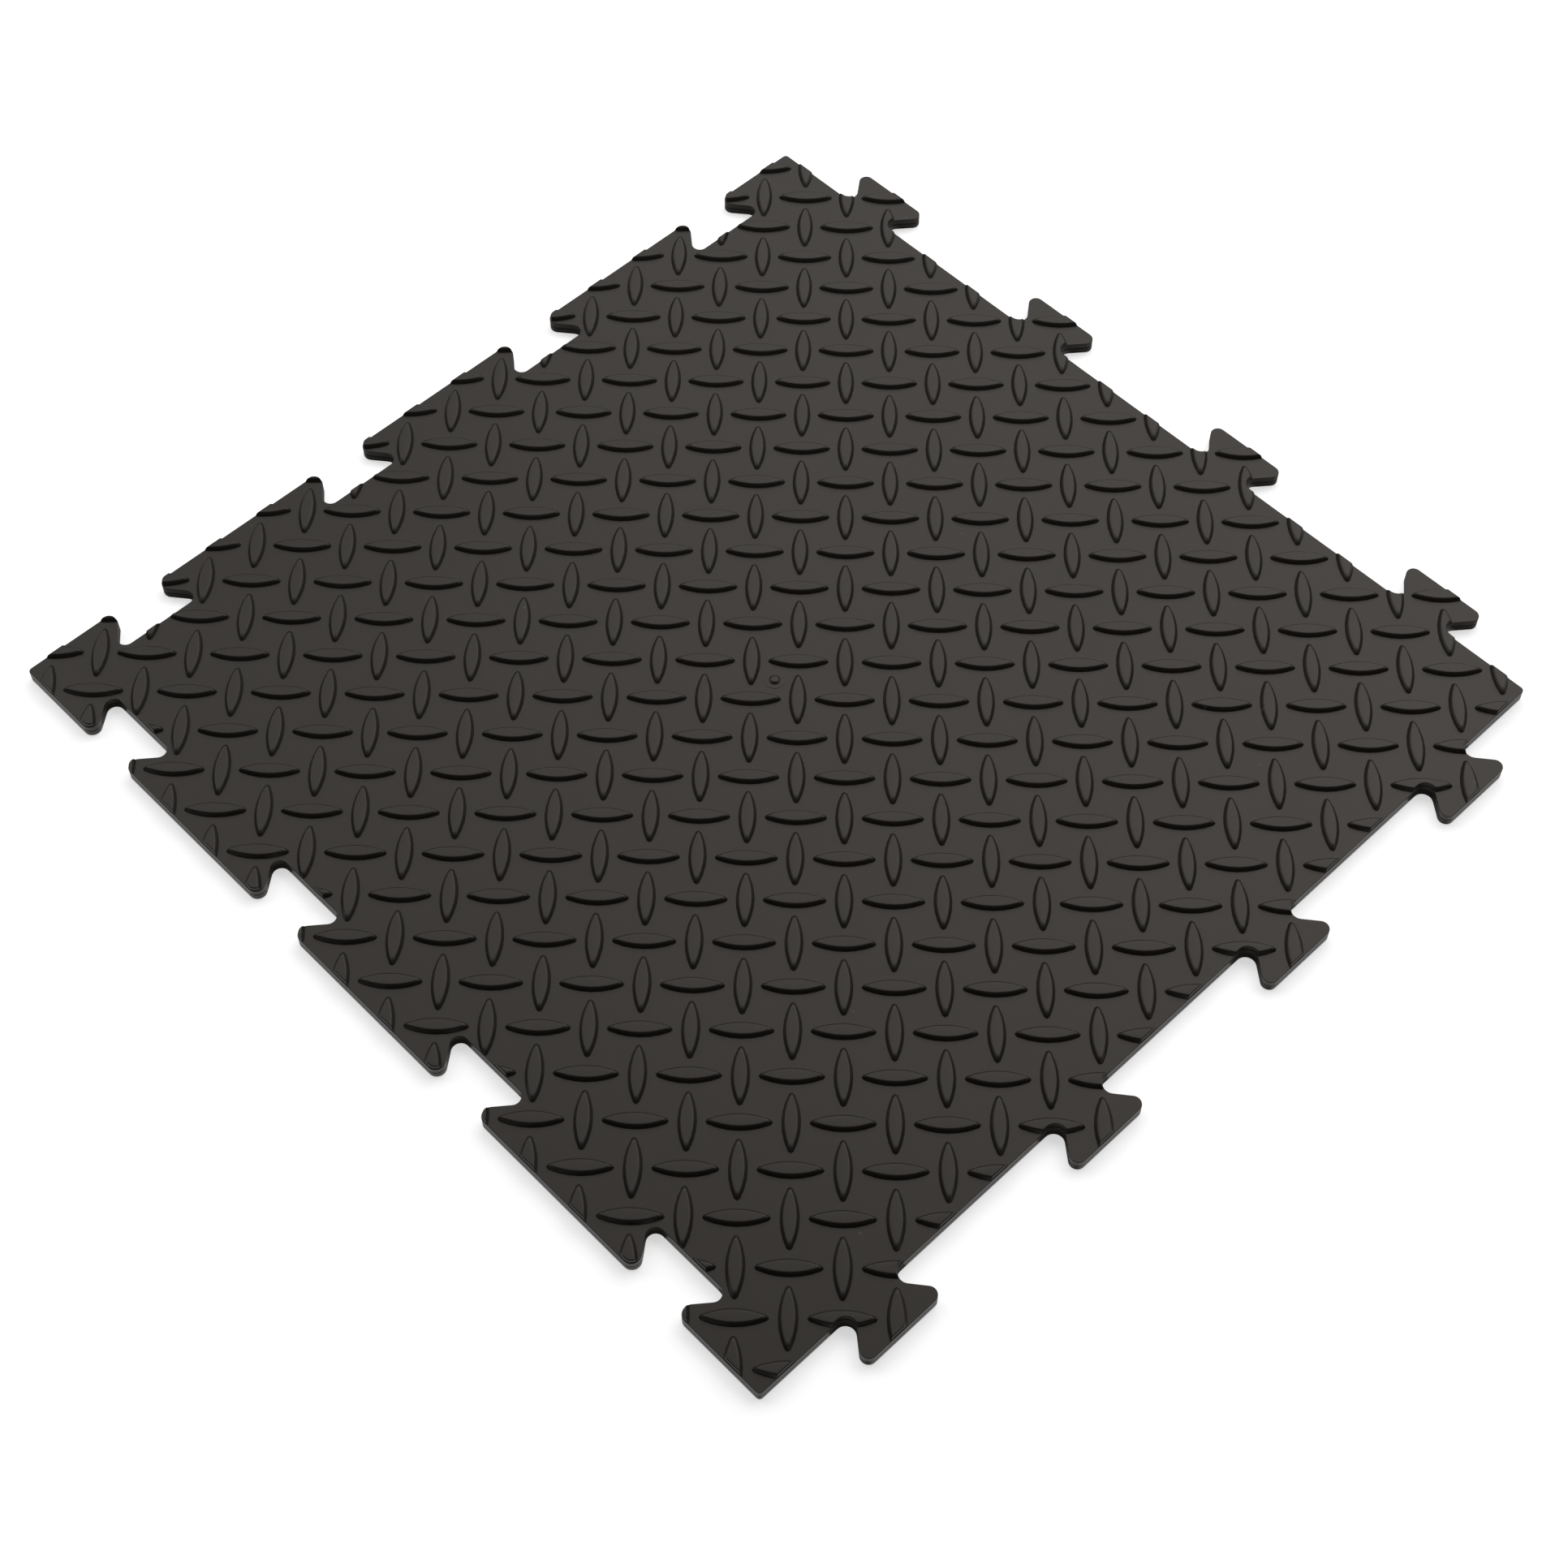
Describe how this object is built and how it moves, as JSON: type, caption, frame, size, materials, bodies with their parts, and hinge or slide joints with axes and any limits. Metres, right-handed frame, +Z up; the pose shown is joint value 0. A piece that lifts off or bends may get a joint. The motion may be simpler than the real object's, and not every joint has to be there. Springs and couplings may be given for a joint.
{
  "type": "interlocking floor tile",
  "caption": "Square interlocking PVC floor tile with raised lens-shaped treads, arrow-shaped tabs on two sides and matching sockets on the other two.",
  "frame": {"origin": "middle of the square body, on its flat underside", "axes": "+Z up out of the treaded face; the tabs point to +X and to +Y, and the sockets open to -X and to -Y"},
  "size_m": [0.5205, 0.5205, 0.0085],
  "materials": {
    "pvc": "satin"
  },
  "bodies": {
    "root": {"floor_tile": "pvc"}
  },
  "joints": []
}
